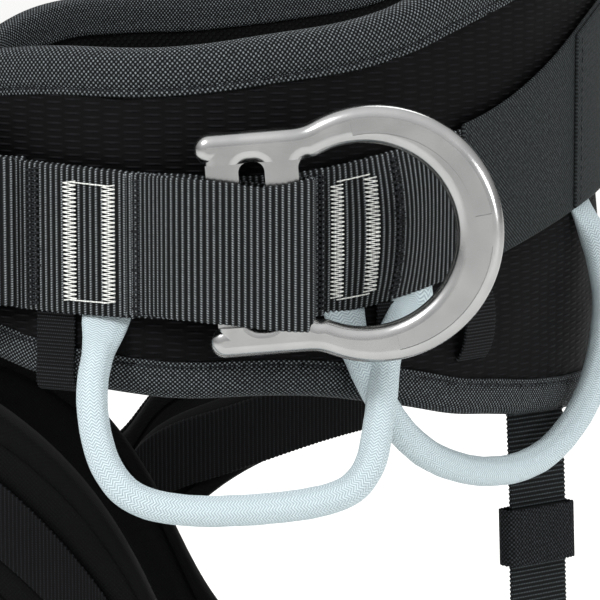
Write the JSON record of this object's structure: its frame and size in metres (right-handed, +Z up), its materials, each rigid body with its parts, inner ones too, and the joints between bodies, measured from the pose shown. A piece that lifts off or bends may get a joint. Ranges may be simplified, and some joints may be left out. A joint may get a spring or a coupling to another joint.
{
  "type": "climbing harness",
  "caption": "Climbing harness with a padded waist belt, side and ventral attachment rings, stiff gear loops, padded leg loops and rear risers.",
  "frame": {"origin": "on the waist's vertical axis, at the height of the belt's lower edge at the side", "axes": "+Z up, the wearer faces -Y, the wearer's left side is +X"},
  "size_m": [0.3818, 0.3005, 0.3428],
  "materials": {
    "gear_loop_sheath": "braided sheath",
    "forged_aluminium": "satin, polished edges",
    "black_steel": "gloss black coating",
    "binding_tape": "basket weave tape",
    "outer_fabric": "fine ripple weave",
    "inner_mesh": "spacer mesh",
    "foam": "closed cell foam",
    "leg_fabric": "plain weave",
    "band_webbing": "fine dotted weave",
    "elastic": "knitted elastic",
    "narrow_tape": "ribbed tape",
    "riser_webbing": "ribbed webbing",
    "leg_webbing": "plain webbing",
    "main_webbing": "ribbed webbing"
  },
  "bodies": {
    "belt": {"back_band": "band_webbing", "belt_inner_mesh": "inner_mesh", "belt_lower_binding": "binding_tape", "belt_outer_fabric": "outer_fabric", "belt_pad_core": "foam", "belt_top_binding": "binding_tape", "buckle_frame_left": "black_steel", "buckle_frame_right": "black_steel", "buckle_webbing_left": "main_webbing", "buckle_webbing_right": "main_webbing", "front_strap": "main_webbing", "front_tape_left": "narrow_tape", "front_tape_right": "narrow_tape", "leg_bridge": "leg_webbing", "middle_tape_left": "narrow_tape", "middle_tape_right": "narrow_tape", "rear_tape_left": "narrow_tape", "rear_tape_right": "narrow_tape", "riser_keeper_left": "elastic", "riser_keeper_right": "elastic", "riser_left": "riser_webbing", "riser_right": "riser_webbing", "strap_tail_left": "main_webbing", "strap_tail_right": "main_webbing", "tail_keeper_left": "elastic", "tail_keeper_right": "elastic", "ventral_webbing": "main_webbing", "waist_webbing": "main_webbing"},
    "ring_left": {"side_ring_left": "forged_aluminium", "ring_tab_left": "main_webbing"},
    "gear_front_left": {"gear_loop_front_left": "gear_loop_sheath"},
    "gear_rear_left": {"gear_loop_rear_left": "gear_loop_sheath"},
    "slide_left": {"buckle_bar_left": "black_steel"},
    "leg_left": {"leg_pad_left": "leg_fabric", "leg_lining_left": "inner_mesh", "leg_webbing_left": "leg_webbing", "leg_strap_left": "leg_webbing"},
    "ring_right": {"side_ring_right": "forged_aluminium", "ring_tab_right": "main_webbing"},
    "gear_front_right": {"gear_loop_front_right": "gear_loop_sheath"},
    "gear_rear_right": {"gear_loop_rear_right": "gear_loop_sheath"},
    "slide_right": {"buckle_bar_right": "black_steel"},
    "leg_right": {"leg_pad_right": "leg_fabric", "leg_lining_right": "inner_mesh", "leg_webbing_right": "leg_webbing", "leg_strap_right": "leg_webbing"},
    "ventral": {"ventral_ring": "forged_aluminium"}
  },
  "joints": [
    {"name": "ring_swing_left", "type": "hinge", "parent": "belt", "child": "ring_left", "pos_m": [0.1708, -0.017, 0.0487], "axis": [0, 0, -1], "range_deg": [0, 60]},
    {"name": "gear_front_flex_left", "type": "hinge", "parent": "belt", "child": "gear_front_left", "pos_m": [0.17309, -0.03, 0.0205], "axis": [0.1717, -0.9847, -0.0306], "range_deg": [0, 8]},
    {"name": "gear_rear_flex_left", "type": "hinge", "parent": "belt", "child": "gear_rear_left", "pos_m": [0.163, 0.044, 0.022], "axis": [0.6983, -0.6836, -0.2123], "range_deg": [0, 8]},
    {"name": "buckle_slide_left", "type": "slide", "parent": "belt", "child": "slide_left", "axis": [-0.6584, -0.7527, 0], "range_m": [0, 0.004]},
    {"name": "leg_swing_left", "type": "hinge", "parent": "belt", "child": "leg_left", "pos_m": [0, -0.138, -0.048], "axis": [1, 0, 0], "range_deg": [-12, 3], "deforming": ["riser_left"]},
    {"name": "ring_swing_right", "type": "hinge", "parent": "belt", "child": "ring_right", "pos_m": [-0.1708, -0.017, 0.0487], "axis": [0, 0, 1], "range_deg": [0, 60]},
    {"name": "gear_front_flex_right", "type": "hinge", "parent": "belt", "child": "gear_front_right", "pos_m": [-0.17309, -0.03, 0.0205], "axis": [0.1717, 0.9847, 0.0306], "range_deg": [0, 8]},
    {"name": "gear_rear_flex_right", "type": "hinge", "parent": "belt", "child": "gear_rear_right", "pos_m": [-0.163, 0.044, 0.022], "axis": [0.6983, 0.6836, 0.2123], "range_deg": [0, 8]},
    {"name": "buckle_slide_right", "type": "slide", "parent": "belt", "child": "slide_right", "axis": [0.6584, -0.7527, 0], "range_m": [0, 0.004]},
    {"name": "leg_swing_right", "type": "hinge", "parent": "belt", "child": "leg_right", "pos_m": [0, -0.138, -0.048], "axis": [1, 0, 0], "range_deg": [-15, 3], "deforming": ["riser_right"]},
    {"name": "ventral_ring_swing", "type": "hinge", "parent": "belt", "child": "ventral", "pos_m": [0, -0.1513, 0.018], "axis": [-1, 0, 0], "range_deg": [0, 120]}
  ],
  "couplings": [
    {"joint": "gear_front_flex_left", "follows": "gear_rear_flex_left", "ratio": 1},
    {"joint": "gear_front_flex_right", "follows": "gear_rear_flex_right", "ratio": 1}
  ]
}
